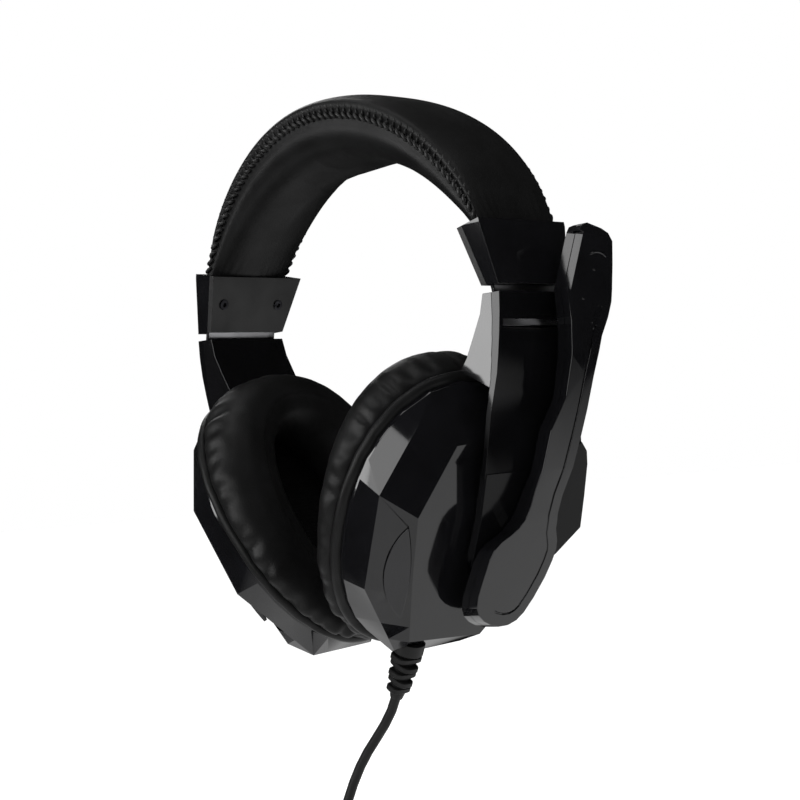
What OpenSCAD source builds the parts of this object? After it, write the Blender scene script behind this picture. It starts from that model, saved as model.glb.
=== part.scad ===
// Over-ear gaming headset: padded headband, sliding arms, tilting ear cups, flip-down microphone boom, cord.
// Millimetres. X points to the wearer's left, -Y to the front, Z up.
// The origin is the middle of the headband padding's underside, where it rests on the crown of a head.

/* [Headband] */
// Half of the arch's width, to the side seams at its widest level
arch_half_w = 80.6; // [76:0.2:86]
// Height of the seams' crown above their widest level
arch_rise = 103.5; // [98:0.5:108]
// Padding below the seam at the crown
pad_below = 14.9; // [12:0.1:18]
// Crown above the seam
pad_above = 8.3; // [5:0.1:9]
// Band's front edge at the crown, ahead of the middle
band_front = 22.4; // [20:0.2:24]
// Band's back edge at the crown, behind the middle
band_back = 27.6; // [24:0.2:30]
// Thickness of the leather cover
leather = 1.2; // [0.8:0.1:1.6]
// Width of the steel spring inside the band
spring_w = 20; // [14:1:24]

/* [End caps and sliders] */
// Thickness of the moulded plastic walls
wall = 2; // [1.6:0.1:2.2]
// Width of the steel slider strip
slider_w = 34; // [30:1:34]
// Thickness of the slider strip
slider_t = 1.6; // [1.2:0.1:1.8]
// Slope of the sliding direction from vertical, degrees
slide_slope = 12; // [10:1:14]

/* [Ear cups] */
// Sideways distance of each cup's rim centre from the middle
cup_x = 34.8; // [33:0.1:38]
// Depth of the rim centre in front of the headband's middle
cup_forward = 14.3; // [10:0.1:18]
// Drop of the rim centre below the origin
cup_drop = 127.3; // [120:0.1:134]
// Lean of the cups, bottoms inward, degrees
cup_lean = 28; // [26:0.5:29]
// Turn of the cups towards the front, degrees
cup_toe = 8; // [6:0.5:10]
// Turn of the oval in its own plane, degrees
cup_twist = 5.5; // [3:0.5:8]
// Half width of the oval rim
rim_a = 39.5; // [38:0.1:41]
// Half height of the oval rim
rim_b = 49; // [47:0.1:51]
// Thickness of the ear cushion at the middle of the cup
cushion_t = 21.5; // [18:0.5:24]
// Radius of the loudspeaker
driver_r = 20; // [16:0.5:22]
// Radius of the tilt pin
pin_r = 2; // [1.5:0.1:2.4]

/* [Microphone boom] */
// Radius of the boom's pivot shaft
boom_pivot_r = 5; // [4:0.1:6]
// Running clearance of pins and shafts
run_gap = 0.06; // [0.03:0.01:0.09]

/* [Cord] */
// Diameter of the cord
cord_d = 3.5; // [3:0.1:4]
// Diameter of the coil at the middle of its turns
coil_d = 42; // [40:1:46]
// Thickness of the bundle of turns
coil_bundle = 14; // [12:0.5:16]

/* [Hidden] */
$fn = 48;

arch_z = pad_below - arch_rise;      // level where the arch is widest
band_end = 62;                       // angle of the band's ends from the crown, degrees
cap_angle = 58;                      // angle where the band enters the caps
end_front = 17.4;                    // front and back edge of the band at the caps
end_back = 22.4;
end_above = 1.2;                     // leather outside the seam at the caps
end_below = 5.2;                     // leather inside the seam at the caps
spring_level = -4;                   // spring, measured from the seam
spring_t = 1;
spring_end = 53;                     // angle where the spring ends
foam_fit = 0.05;                     // room between the foam and its cover

// ---------- shared shapes ----------

// A closed solid through rings of equal length, with a flat cap at both ends
module skin(rings) {
  n = len(rings[0]);
  m = len(rings);
  polyhedron(
    points = [for (r = rings) for (p = r) p],
    faces = concat(
      [[for (i = [0 : n - 1]) i]],
      [for (j = [0 : m - 2]) for (i = [0 : n - 1]) [j * n + i, (j + 1) * n + i, (j + 1) * n + (i + 1) % n]],
      [for (j = [0 : m - 2]) for (i = [0 : n - 1]) [j * n + i, (j + 1) * n + (i + 1) % n, j * n + (i + 1) % n]],
      [[for (i = [n - 1 : -1 : 0]) (m - 1) * n + i]]
    ),
    convexity = 8
  );
}

function signed_pow(x, e) = sign(x) * pow(abs(x), e);

// Point of a superellipse with half axes a and b and exponent n, at an angle
function oval_at(a, b, angle, n = 2.15) =
  [a * signed_pow(cos(angle), 2 / n), b * signed_pow(sin(angle), 2 / n)];

function mix(p, q, k) = p + (q - p) * k;

// Puts a shape made for the wearer's left on either side
module on_side(side) {
  if (side == "l") children();
  else mirror([1, 0, 0]) children();
}

// Frame of the ear cup turned to its toe angle: X outward, Y back, Z up
module toe_frame() {
  translate([cup_x, -cup_forward, -cup_drop]) rotate([0, 0, -cup_toe]) children();
}

// Frame of the ear cup: X along the ear's axis outward, Z up along the cup
module ear_frame() {
  toe_frame() rotate([0, cup_lean, 0]) children();
}

// Extrudes a drawing of the cup's plane (back, up) from one depth to another along the ear's axis
module ear_plate(from, to) {
  translate([from, 0, 0]) rotate([90, 0, 90]) linear_extrude(to - from) children();
}

// Draws the cup's oval, grown by a margin
module oval(grow = 0, steps = 48) {
  rotate(cup_twist)
    polygon([for (i = [0 : steps - 1]) oval_at(rim_a + grow, rim_b + grow, 360 * i / steps)]);
}

// ---------- headband ----------

function band_k(t, e) = pow(min(abs(t) / cap_angle, 1), e);
function band_above(t) = pad_above + (end_above - pad_above) * band_k(t, 3.5);
function band_below(t) = pad_below + (end_below - pad_below) * band_k(t, 2.2);
function front_edge(t) = band_front + (end_front - band_front) * band_k(t, 1.2);
function back_edge(t) = band_back + (end_back - band_back) * band_k(t, 3);
function band_half(t) = (front_edge(t) + back_edge(t)) / 2;
function band_mid(t) = (back_edge(t) - front_edge(t)) / 2;
function arch_point(t, n) =
  let (len = norm([arch_rise * sin(t), arch_half_w * cos(t)]))
  [arch_half_w * sin(t) + n * arch_rise * sin(t) / len, arch_z + arch_rise * cos(t) + n * arch_half_w * cos(t) / len];

// One cross-section of the band, drawn in by an inset
function band_ring(t, inset, sides = 16) = [for (i = [0 : sides - 1])
  let (
    angle = 360 * i / sides,
    s = oval_at(band_half(t) - inset, 1, angle, angle > 270 ? 6 : 3.4),
    n = s[1] * ((s[1] > 0 ? band_above(t) : band_below(t)) - inset),
    p = arch_point(t, n)
  ) [p[0], band_mid(t) + s[0], p[1]]];

module band_solid(inset, end, steps = 32) {
  skin([for (i = [0 : steps]) band_ring(-end + 2 * end * i / steps, inset)]);
}

module spring_solid(margin, end) {
  steps = 24;
  skin([for (i = [0 : steps])
    let (t = -end + 2 * end * i / steps)
    [for (c = [[-1, -1], [1, -1], [1, 1], [-1, 1]])
      let (p = arch_point(t, spring_level + c[1] * (spring_t / 2 + margin)))
      [p[0], c[0] * (spring_w / 2 + margin), p[1]]]]);
}

module headband_cover() {
  color([0.07, 0.07, 0.07]) difference() {
    band_solid(0, band_end);
    band_solid(leather, band_end + 1);
    for (side = ["l", "r"]) on_side(side) slider_pocket();
  }
}

module headband_foam() {
  color([0.25, 0.25, 0.27]) difference() {
    band_solid(leather + foam_fit, band_end - 0.5);
    spring_solid(0.1, spring_end + 8);
    for (side = ["l", "r"]) on_side(side) slider_pocket();
  }
}

module spring_band() {
  color("silver") spring_solid(0, spring_end);
}

// ---------- end caps ----------

cap_in_top = [60.8, -33.6];
cap_out_top = [70.5, -31.3];
cap_out_bottom = [74.7, -53.8];
cap_in_bottom = [67.3, -53.7];
cap_top_y = [-20.8, 25];             // front and back at the top
cap_bottom_y = [-18.4, 18.8];
cap_screw_y = [-13.8, 14.2];
cap_screw_z = -43.8;
slot_wall = 1;                       // wall round the leather at the cap's mouth

// Extrudes a drawing of the front view (X right, Z up) along Y
module front_view(y) {
  translate([0, y[1], 0]) rotate([90, 0, 0]) linear_extrude(y[1] - y[0]) children();
}

// Extrudes a drawing of the side view (Y right, Z up) along X
module side_view(x) {
  translate([x[0], 0, 0]) rotate([90, 0, 90]) linear_extrude(x[1] - x[0]) children();
}

module cap_block() {
  intersection() {
    front_view([-30, 30]) polygon([cap_in_top, cap_out_top, cap_out_bottom, cap_in_bottom]);
    side_view([50, 90]) polygon([
      [cap_top_y[0], -25], [cap_top_y[0], -33], [cap_bottom_y[0], -53.75],
      [cap_bottom_y[1], -53.75], [cap_top_y[1], -33], [cap_top_y[1], -25]]);
  }
}

// Hollow of the cap: wide at the leather, then a narrower chamber for the slider
module cap_hollow() {
  intersection() {
    front_view([-30, 30]) polygon([
      cap_in_top + [slot_wall - 0.3, 4], cap_out_top + [-slot_wall - 0.3, 4],
      cap_out_bottom + [-wall, wall], cap_in_bottom + [wall, wall]]);
    side_view([50, 90]) polygon([
      [cap_top_y[0] + wall, -20], [cap_top_y[0] + wall, -33], [cap_bottom_y[0] + wall, -60],
      [cap_bottom_y[1] - wall, -60], [cap_top_y[1] - slot_wall, -33], [cap_top_y[1] - slot_wall, -20]]);
  }
}

// The inner cover is the slab next to the head
module cap_inner_zone(shift = 0) {
  front_view([-30, 30]) polygon([
    cap_in_top + [-5, 8], cap_in_top + [2.4 + shift - 2.5, 8],
    cap_in_bottom + [2.4 + shift + 2.5, -8], cap_in_bottom + [-5, -8]]);
}

// Slider's own frame: origin in the middle of the gap below the cap, Z up along the sliding direction
module slide_frame() {
  translate([71.1, 0, -55]) rotate([0, -slide_slope, 0]) children();
}

module slider_pocket() {
  slide_frame() translate([-slider_t / 2 - 0.5, -slider_w / 2 - 0.4, -20])
    cube([slider_t + 1, slider_w + 0.8, 49.2]);
}

module cap_screw_at(y, from, to) {
  translate([cap_in_top[0] + 2.9, y, cap_screw_z]) rotate([0, -107, 0])
    translate([0, 0, from]) cylinder(r = 2, h = to - from);
}

module end_cap_outer(side) {
  color([0.03, 0.03, 0.035]) on_side(side) difference() {
    cap_block();
    cap_hollow();
    cap_inner_zone();
    slider_pocket();
  }
}

module end_cap_inner(side) {
  color([0.08, 0.08, 0.085]) on_side(side) difference() {
    intersection() {
      cap_block();
      cap_inner_zone(-0.1);
    }
    cap_hollow();
    slider_pocket();
    for (y = cap_screw_y) cap_screw_at(y, -6, 6);
  }
}

// Nylon block in the cap that the slider strip runs through
module slider_guide(side) {
  color([0.3, 0.3, 0.3]) on_side(side) difference() {
    intersection() {
      cap_hollow();
      slide_frame() translate([-1.9, -18, 4]) cube([3.7, 36, 8]);
    }
    slide_frame() translate([-slider_t / 2 - 0.35, -slider_w / 2 - 0.25, 0])
      cube([slider_t + 0.7, slider_w + 0.5, 20]);
  }
}

module cap_screws(side) {
  color("dimgray") on_side(side) for (y = cap_screw_y) difference() {
    cap_screw_at(y, -1.8, 0.1);
    translate([cap_in_top[0] + 2.9, y, cap_screw_z]) rotate([0, -107, 0]) translate([0, 0, -0.7])
      cylinder(r = 1, h = 1, $fn = 6);
  }
}

// ---------- arms ----------

// Rings of the arm: height, front and back edge, outside at front and back, inside at front and back
arm_rows = [
  [-56.4, -18.5, 18.6, 74.8, 74.8, 67.5, 67.5],
  [-63.0, -18.8, 18.8, 74.5, 74.6, 65.9, 66.0],
  [-70.0, -19.0, 19.0, 73.7, 74.4, 62.4, 62.8],
  [-77.0, -19.0, 19.0, 72.5, 74.0, 58.6, 59.4],
  [-83.4, -19.0, 19.3, 71.2, 73.7, 53.4, 55.0],
  [-90.0, -19.6, 19.8, 69.6, 73.4, 60.0, 63.2],
  [-96.8, -20.4, 20.3, 68.2, 73.1, 65.0, 69.9],
  [-106.0, -21.8, 20.8, 67.3, 72.8, 64.1, 69.6],
  [-117.5, -23.5, 21.2, 65.9, 72.2, 62.5, 68.8]
];
split_depth = 3.2;                   // depth of the outer cover's edge
plate_in = 20.6;                     // depths of the lower plate along the ear's axis
plate_out = 23.8;
plate_outline = [
  [-4.3, 25], [-1.5, 7.5], [-0.7, -7.2], [5.4, -16.3], [13, -19.3], [24, -18],
  [38, -8], [46.6, 1.4], [44.2, 13.9], [41.5, 26], [39.5, 31], [36, 34.5], [33.8, 33], [33, 25.3], [20, 25.3], [-3, 25]];

function arm_ring(r, out, inn, edge) = [
  [r[3] - out, r[1] + edge, r[0]], [r[5] + inn, r[1] + edge, r[0]],
  [r[6] + inn, r[2] - edge, r[0]], [r[4] - out, r[2] - edge, r[0]]];

module arm_loft(out, inn, edge, last) {
  skin([for (i = [0 : last]) arm_ring(arm_rows[i], out, inn, edge)]);
}

module arm_cavity() {
  rows = [for (i = [0 : 5]) arm_rows[i]];
  skin(concat(
    [arm_ring(rows[0] - [wall, 0, 0, 0, 0, 0, 0], wall, wall, wall)],
    [for (i = [1 : 4]) arm_ring(rows[i], wall, wall, wall)],
    [arm_ring(rows[5], wall, 6.2, wall)]));
}

// Solid outside of the split surface between the arm's two covers
module arm_outer_zone(shift = 0) {
  skin([for (r = concat([arm_rows[0] + [5, 0, 0, 0, 0, 0, 0]], [for (i = [1 : 8]) arm_rows[i]]))
    let (d = split_depth + shift)
    [[r[3] + 8, -40, r[0]], [r[3] - d, -40, r[0]], [r[4] - d, 40, r[0]], [r[4] + 8, 40, r[0]]]]);
}

module arm_outer(side) {
  color([0.03, 0.03, 0.035]) on_side(side) {
    difference() {
      union() {
        intersection() {
          arm_loft(0, 0, 0, 8);
          arm_outer_zone();
        }
        ear_frame() ear_plate(plate_in, plate_out) polygon(plate_outline);
      }
      arm_cavity();
      slider_channel();
      if (side == "l") boom_bore(boom_pivot_r + run_gap);
    }
  }
}

module arm_inner(side) {
  color([0.05, 0.05, 0.055]) on_side(side) difference() {
    arm_loft(0, 0, 0, 6);
    arm_outer_zone(0.1);
    arm_cavity();
    slider_channel();
    ear_frame() ear_plate(-30, 16) oval(1.7);
  }
}

module slider_channel() {
  slide_frame() translate([-slider_t / 2 - 0.1, -slider_w / 2 - 0.1, -14])
    cube([slider_t + 0.2, slider_w + 0.2, 20]);
}

module slider_strip(side) {
  color("silver") on_side(side) difference() {
    slide_frame() translate([-slider_t / 2, -slider_w / 2, -13]) cube([slider_t, slider_w, 41]);
    for (z = [-9.5], y = [-10, 10]) slide_frame() translate([-5, y, z]) rotate([0, 90, 0])
      cylinder(r = 1.6, h = 10);
  }
}

// ---------- tilt hinge ----------

pin_u = 11;                          // depth of the tilt pin along the ear's axis
pin_y = 14;                          // middle of the hinge, back from the cup's middle
pin_z = 6.5;
lug_near = 6.4;                      // lugs on both sides of the block
lug_far = 9.4;

module pin_axis(y_from, y_to, r) {
  translate([pin_u, pin_y + y_from, pin_z]) rotate([-90, 0, 0]) cylinder(r = r, h = y_to - y_from);
}

module tilt_lugs(side) {
  color("dimgray") on_side(side) ear_frame() for (s = [-1, 1]) difference() {
    translate([0, pin_y + (s > 0 ? lug_near : -lug_far), 0]) union() {
      translate([pin_u, 0, pin_z - 4.5]) cube([plate_in - pin_u, lug_far - lug_near, 9]);
      translate([pin_u, 0, pin_z]) rotate([-90, 0, 0]) cylinder(r = 4.5, h = lug_far - lug_near);
    }
    pin_axis(-20, 20, pin_r + run_gap);
  }
}

// Block that carries the pin; its foot sits in a shallow pocket of the shell
module pivot_foot() {
  translate([pin_u - 4.5, pin_y - 6, pin_z - 5]) cube([9.7, 12, 10]);
}

module pivot_block(side) {
  color("dimgray") on_side(side) ear_frame() difference() {
    pivot_foot();
    pin_axis(-20, 20, pin_r);
  }
}

module tilt_pin(side) {
  color("silver") on_side(side) ear_frame() pin_axis(-10.4, 10.4, pin_r);
}

// ---------- ear cups ----------

shell_flat = 17.5;                   // depth of the shell's outer face
// Corners of the shell's facets, counted from the top front over the front: back, up, depth
shoulder = [[-21, 39.5, 8], [-35.5, 17.5, 11], [-36.5, -16.5, 12], [-17, -46.8, 11],
  [14, -50, 8], [34, -27, 8], [37.5, 8, 8], [21, 40, 8]];
face = [[-9, 33, 15], [-23, 10, shell_flat], [-21, -14, shell_flat], [-18, -38, shell_flat],
  [14, -42, shell_flat], [30, -25, shell_flat], [33, 8, shell_flat], [18, 33, 15]];
facet_steps = 4;

function facet_ring(corners, inset) = [for (i = [0 : 7]) for (k = [0 : facet_steps - 1])
  let (
    c = mix(corners[i], corners[(i + 1) % 8], k / facet_steps),
    r = 1 - inset / norm([c[0], c[1]])
  ) [c[2] - inset, c[0] * r, c[1] * r]];

function corner_angle(i) = let (c = shoulder[i % 8], a = atan2(c[1] / rim_b, c[0] / rim_a))
  (a < 60 ? a + 360 : a) + (i > 7 ? 360 : 0);

function oval_ring(depth, a, b) = [for (i = [0 : 7]) for (k = [0 : facet_steps - 1])
  let (
    angle = corner_angle(i) + (corner_angle(i + 1) - corner_angle(i)) * k / facet_steps,
    p = oval_at(a, b, angle)
  ) [depth, p[0], p[1]]];

module shell_solid(inset, floor_depth) {
  skin([oval_ring(floor_depth, rim_a - inset, rim_b - inset), oval_ring(1.5, rim_a - inset, rim_b - inset),
    facet_ring(shoulder, inset), facet_ring(face, inset), oval_ring(shell_flat - inset, 8, 10)]);
}

leaf_at = [16.6, -24.4, -10.6];      // middle of the leaf-shaped panel
leaf_turn = 4;                       // turn of its long axis
leaf_half_h = 17;
leaf_bulge = [7, 2];                 // bulge of its front and rear edge

// Radius of an arc from its half chord and its bulge
function arc_radius(chord, bulge) = (chord * chord + bulge * bulge) / (2 * bulge);

// Leaf-shaped panel in the front facet of the shell
module leaf_solid(depth_in, depth_out, grow) {
  front_r = arc_radius(leaf_half_h, leaf_bulge[0]);
  rear_r = arc_radius(leaf_half_h, leaf_bulge[1]);
  translate(leaf_at) rotate([0, 0, 67]) rotate([90, 0, 0]) rotate(leaf_turn)
    translate([0, 0, depth_in]) linear_extrude(depth_out - depth_in) intersection() {
      translate([front_r - leaf_bulge[0], 0]) circle(r = front_r + grow, $fn = 90);
      translate([leaf_bulge[1] - rear_r, 0]) circle(r = rear_r + grow, $fn = 180);
    }
}

module cup_shell(side) {
  color([0.03, 0.03, 0.035]) on_side(side) ear_frame() difference() {
    rotate([cup_twist, 0, 0]) difference() {
      shell_solid(0, 0);
      shell_solid(wall, -1);
      leaf_solid(-0.9, 8, 0.25);
    }
    for (s = [-1, 1]) translate([pin_u - 6, pin_y + (s > 0 ? lug_near - 0.5 : -lug_far - 0.5), pin_z - 7])
      cube([20, lug_far - lug_near + 1, 14]);
    pivot_foot();
    if (side == "l") boss_room();
  }
}

module cup_insert(side) {
  color([0.04, 0.04, 0.045]) on_side(side) ear_frame() rotate([cup_twist, 0, 0]) leaf_solid(-0.9, 0.4, 0);
}

module baffle(side) {
  color([0.06, 0.06, 0.06]) on_side(side) ear_frame() difference() {
    ear_plate(-2, -0.1) oval(-1.5);
    ear_plate(-3, 1) circle(r = driver_r - 3);
    for (i = [0 : 5]) rotate([60 * i + 30, 0, 0]) translate([-3, 0, driver_r + 8]) rotate([0, 90, 0])
      cylinder(r = 2, h = 5);
  }
}

module driver(side) {
  color("dimgray") on_side(side) ear_frame() {
    translate([0, 0, 0]) rotate([0, 90, 0]) cylinder(r = driver_r, h = 3);
    translate([2.9, 0, 0]) rotate([0, 90, 0]) cylinder(r = driver_r * 0.55, h = 3);
  }
}

module ear_cloth(side) {
  color([0.05, 0.05, 0.05]) on_side(side) ear_frame() ear_plate(-3.4, -2.2) oval(-9);
}

opening_a = 19;                      // half width and half height of the opening for the ear
opening_b = 29;
module ear_opening(grow) {
  rotate(cup_twist) polygon([for (i = [0 : 35]) oval_at(opening_a + grow, opening_b + grow, 10 * i)]);
}

cushion_from = 3.6;                  // the cushion starts at this depth inside the rim
// Cushion rings: share of the thickness, growth of the outer oval, growth of the opening
cushion_rows = [[0, 0.8, 4.5], [0.15, 2.8, 1.6], [0.38, 3.4, 0.4], [0.6, 2.4, 0.4], [0.79, 0, 1.6], [0.93, -3.2, 4],
  [1, -6.5, 7]];
cushion_back = [0.12, 0.18];         // growth of the thickness per millimetre back, front and rear half
cushion_up = 0.14;                   // growth of the thickness per millimetre up

function cushion_ring(share, a, b) = [for (i = [0 : 35])
  let (
    p = oval_at(a, b, 10 * i),
    y = p[0] * cos(cup_twist) - p[1] * sin(cup_twist),
    z = p[0] * sin(cup_twist) + p[1] * cos(cup_twist),
    t = cushion_t + cushion_back[y > 0 ? 1 : 0] * y + cushion_up * z
  ) [-cushion_from - share * (t - cushion_from), y, z]];

function reversed(list) = [for (i = [len(list) - 1 : -1 : 0]) list[i]];

// The cushion is a fat ring with rounded edges
module cushion(side) {
  color([0.06, 0.06, 0.06]) on_side(side) ear_frame() difference() {
    skin(reversed([for (r = cushion_rows) cushion_ring(r[0], rim_a + r[1], rim_b + r[1])]));
    skin(reversed([for (r = concat([[-0.3, 0, 7]], cushion_rows, [[1.2, 0, 9]]))
      cushion_ring(r[0], opening_a + r[2], opening_b + r[2])]));
  }
}

module cushion_lip(side) {
  color([0.06, 0.06, 0.06]) on_side(side) ear_frame() ear_plate(-3.4, -0.1) difference() {
    oval(1);
    oval(-1.4);
  }
}

// ---------- microphone boom ----------

boom_out = 33;                       // outer face of the boom's plate along the ear's axis
boom_y = 12;                         // pivot, back from the cup's middle
boom_z = -6.5;                       // pivot, along the cup
// The boom from the front, in the toe frame: inner line upwards, then outer line downwards
boom_inner_line = [[4.1, -44], [13.9, -25.6], [24.5, -5.9], [33.9, 11], [37, 30], [39.2, 50], [40.5, 70], [40.5, 97]];
boom_outer_line = [[47.2, 97], [47.2, 70], [46.2, 50], [43.4, 30], [39.6, 11], [32.4, -5.9], [21.9, -25.6], [12.1, -44]];
// The boom from the side, in the toe frame: up the front edge, down the back edge
boom_outline = [
  [7.8, -39.8], [4.2, -38.2], [1.2, -36], [-0.7, -33.2], [-1.5, -29.6], [-1.3, -24.5], [-0.7, -17.6], [0.4, -14.2],
  [2.7, -11.8], [6, -9.9], [9, -7.7], [11.2, -4.6], [12.3, -1], [12.9, 4.5], [17.5, 24], [24, 35], [26.5, 48],
  [27, 60], [26, 71], [34.3, 90.6], [35.6, 92.4], [38, 93.1], [44.5, 91.2], [47.6, 89.6], [49.3, 86.8], [48.4, 79],
  [46.4, 66], [44.4, 60.8], [41, 54.5], [39.5, 50], [36.8, 41], [31.5, 21], [28, 9], [26.2, 2], [25.7, -4],
  [26.6, -9], [28.6, -13], [29.4, -16], [29, -20], [27.6, -25.6], [24.8, -32.2], [22, -37], [19.4, -39.4],
  [16, -40.7], [11.8, -40.8]];
mic_y = 37;                          // middle of the microphone in the boom's head
boom_split = 3.4;                    // thickness of the boom's inner half
groove_in = [4, 4.6];                // channel in the outer face: distances from the edge
groove_deep = 0.5;
// The channel runs where this drawing is: down the rear edge and round the foot
groove_zone = [[8, -60], [60, -60], [60, 58], [36, 58], [30, 35], [22, 10], [18, -5], [15, -22], [8, -33]];
head_edge = [40.5, 26, 71];          // lower end of the head's front edge
head_lean = atan(8.3 / 19.6);        // lean of that edge to the back
head_chamfer = 15;                   // turn of the head's front face towards the outside

// Room in front of the head's front face, which is turned towards the outside
module head_front() {
  translate(head_edge) rotate([-head_lean, 0, 0]) rotate([0, 0, head_chamfer]) translate([-1, -10, 0])
    cube([20, 10, 21]);
}

module boom_solid(margin = 0) {
  intersection() {
    rotate([90, 0, 0]) translate([0, 0, -70]) linear_extrude(90)
      polygon(concat([for (p = boom_inner_line) p + [margin, 0]], [for (p = boom_outer_line) p - [margin, 0]]));
    translate([-10, 0, 0]) rotate([90, 0, 90]) linear_extrude(70) offset(delta = -margin) polygon(boom_outline);
  }
}

module boom_half(outer) {
  shift = outer ? boom_split + 0.05 : boom_split - 0.05;
  rotate([90, 0, 0]) translate([0, 0, -70]) linear_extrude(90) polygon(concat(
    [for (p = boom_inner_line) p + [shift, p[1] > 90 ? 5 : 0]],
    [for (i = [7 : -1 : 0]) boom_inner_line[i] + [outer ? 30 : -20, 0]]));
}

module boom_shaft_at(from, to, r) {
  ear_frame() translate([from, boom_y, boom_z]) rotate([0, 90, 0]) cylinder(r = r, h = to - from);
}

module boom_bore(r) {
  boom_shaft_at(10, 40, r);
}

// Room in the shell under the arm's plate for the nut of the boom's shaft
module boss_room() {
  translate([shell_flat - 5, boom_y, boom_z]) rotate([0, 90, 0]) cylinder(r = boom_pivot_r + 4.5, h = 10);
}

module boom_groove() {
  intersection() {
    translate([-10, 0, 0]) rotate([90, 0, 90]) linear_extrude(70) intersection() {
      difference() {
        offset(delta = -groove_in[0]) polygon(boom_outline);
        offset(delta = -groove_in[1]) polygon(boom_outline);
      }
      polygon(groove_zone);
    }
    rotate([90, 0, 0]) translate([0, 0, -70]) linear_extrude(90)
      polygon(concat([for (p = boom_outer_line) p - [groove_deep, 0]], [[60, -44], [60, 97]]));
  }
}

module boom_outer() {
  color([0.03, 0.03, 0.035]) toe_frame() difference() {
    intersection() {
      boom_solid();
      boom_half(true);
    }
    boom_solid(1.8);
    boom_groove();
    head_front();
  }
}

module boom_inner() {
  color([0.03, 0.03, 0.035]) difference() {
    toe_frame() difference() {
      intersection() {
        boom_solid();
        boom_half(false);
      }
      boom_solid(1.8);
      head_front();
    }
    boom_bore(boom_pivot_r);
  }
}

module boom_shaft() {
  color("dimgray") {
    boom_shaft_at(plate_in - 0.3, plate_out + 2.6, boom_pivot_r);
    boom_shaft_at(plate_out + 2.2, plate_out + 4, boom_pivot_r + 2.5);
  }
}

module boom_nut() {
  color("silver") boom_shaft_at(plate_in - 2.1, plate_in - 0.3, boom_pivot_r + 2.5);
}

module mic_capsule() {
  color("silver") toe_frame() translate([42.3, mic_y, 81]) rotate([0, 90, 0]) cylinder(r = 2, h = 2.6);
}

module mic_foam() {
  color("black") toe_frame() translate([44.95, mic_y, 81]) rotate([0, 90, 0]) cylinder(r = 2.4, h = 0.4);
}

// ---------- cord ----------

relief_at = [12, -8.6];              // strain relief in the ear frame: depth and distance back
relief_from = -44;
relief_to = -63.6;
cord_route = [
  [14.7, -20.1, -188.7], [11.4, -20.3, -194.9], [7.8, -20.4, -199.7], [3.5, -20.5, -204.5], [-0.6, -20.5, -209.2],
  [-4.3, -20.5, -214.4], [-7.4, -20.5, -220.2], [-10, -20.5, -226.4], [-12.1, -20.5, -233.2],
  [-13.5, -20.5, -240.5], [-14, -20.5, -247], [-14, -20.5, -251]];
coil_centre = [-14, -20.5, -251 - (coil_d + coil_bundle) / 2];

plug_at = coil_centre + [13, -11.8, -4];

function tube_side(p, q) = let (d = (q - p) / norm(q - p), s = cross(d, [0, 1, 0])) s / norm(s);

module cord_tube() {
  n = len(cord_route);
  color([0.05, 0.05, 0.05]) skin([for (i = [0 : n - 1])
    let (
      p = cord_route[i],
      a = cord_route[max(i - 1, 0)],
      b = cord_route[min(i + 1, n - 1)],
      d = (b - a) / norm(b - a),
      s = tube_side(a, b),
      t = cross(d, s)
    ) [for (k = [0 : 7]) p + cord_d / 2 * (cos(45 * k) * s + sin(45 * k) * t)]]);
}

module strain_relief() {
  color([0.06, 0.06, 0.06]) ear_frame() translate([relief_at[0], relief_at[1], relief_to]) {
    for (i = [0 : 3]) translate([0, 0, 1.2 + 3 * i]) cylinder(r = 5.3 - 0.08 * i, h = 1.7);
    translate([0, 0, 13]) cylinder(r = 5, h = relief_from - relief_to - 13);
    cylinder(r = 3.4, h = relief_from - relief_to);
  }
}

module cord_coil() {
  color([0.05, 0.05, 0.05]) translate(coil_centre) rotate([90, 0, 0])
    rotate_extrude() translate([coil_d / 2, 0]) square([coil_bundle, coil_bundle], center = true);
}

module cord_tie() {
  color([0.1, 0.1, 0.1]) translate(coil_centre + [-coil_d / 2, 0, 0]) difference() {
    cube([coil_bundle + 3, coil_bundle + 3, 8], center = true);
    cube([coil_bundle + 0.4, coil_bundle + 0.4, 9], center = true);
  }
}

module plug_body() {
  color([0.05, 0.05, 0.05]) translate(plug_at) {
    cylinder(r = 5, h = 22);
    translate([0, 0, 22]) cylinder(r = 3, h = 8);
  }
}

module plug_pin() {
  color("gold") translate(plug_at - [0, 0, 14]) cylinder(r = 1.75, h = 14);
}

headband_cover();
headband_foam();
spring_band();
end_cap_outer("l");  // end_cap_outer_l
end_cap_outer("r");  // end_cap_outer_r
end_cap_inner("l");  // end_cap_inner_l
end_cap_inner("r");  // end_cap_inner_r
slider_guide("l");  // slider_guide_l
slider_guide("r");  // slider_guide_r
cap_screws("l");  // cap_screws_l
cap_screws("r");  // cap_screws_r
slider_strip("l");  // slider_strip_l
slider_strip("r");  // slider_strip_r
arm_outer("l");  // arm_outer_l
arm_outer("r");  // arm_outer_r
arm_inner("l");  // arm_inner_l
arm_inner("r");  // arm_inner_r
tilt_lugs("l");  // tilt_lugs_l
tilt_lugs("r");  // tilt_lugs_r
cup_shell("l");  // cup_shell_l
cup_shell("r");  // cup_shell_r
cup_insert("l");  // cup_insert_l
cup_insert("r");  // cup_insert_r
pivot_block("l");  // pivot_block_l
pivot_block("r");  // pivot_block_r
tilt_pin("l");  // tilt_pin_l
tilt_pin("r");  // tilt_pin_r
baffle("l");  // baffle_l
baffle("r");  // baffle_r
driver("l");  // driver_l
driver("r");  // driver_r
ear_cloth("l");  // ear_cloth_l
ear_cloth("r");  // ear_cloth_r
cushion("l");  // cushion_l
cushion("r");  // cushion_r
cushion_lip("l");  // cushion_lip_l
cushion_lip("r");  // cushion_lip_r
boom_outer();
boom_inner();
boom_shaft();
boom_nut();
mic_capsule();
mic_foam();
strain_relief();
cord_tube();
cord_coil();
cord_tie();
plug_body();
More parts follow.
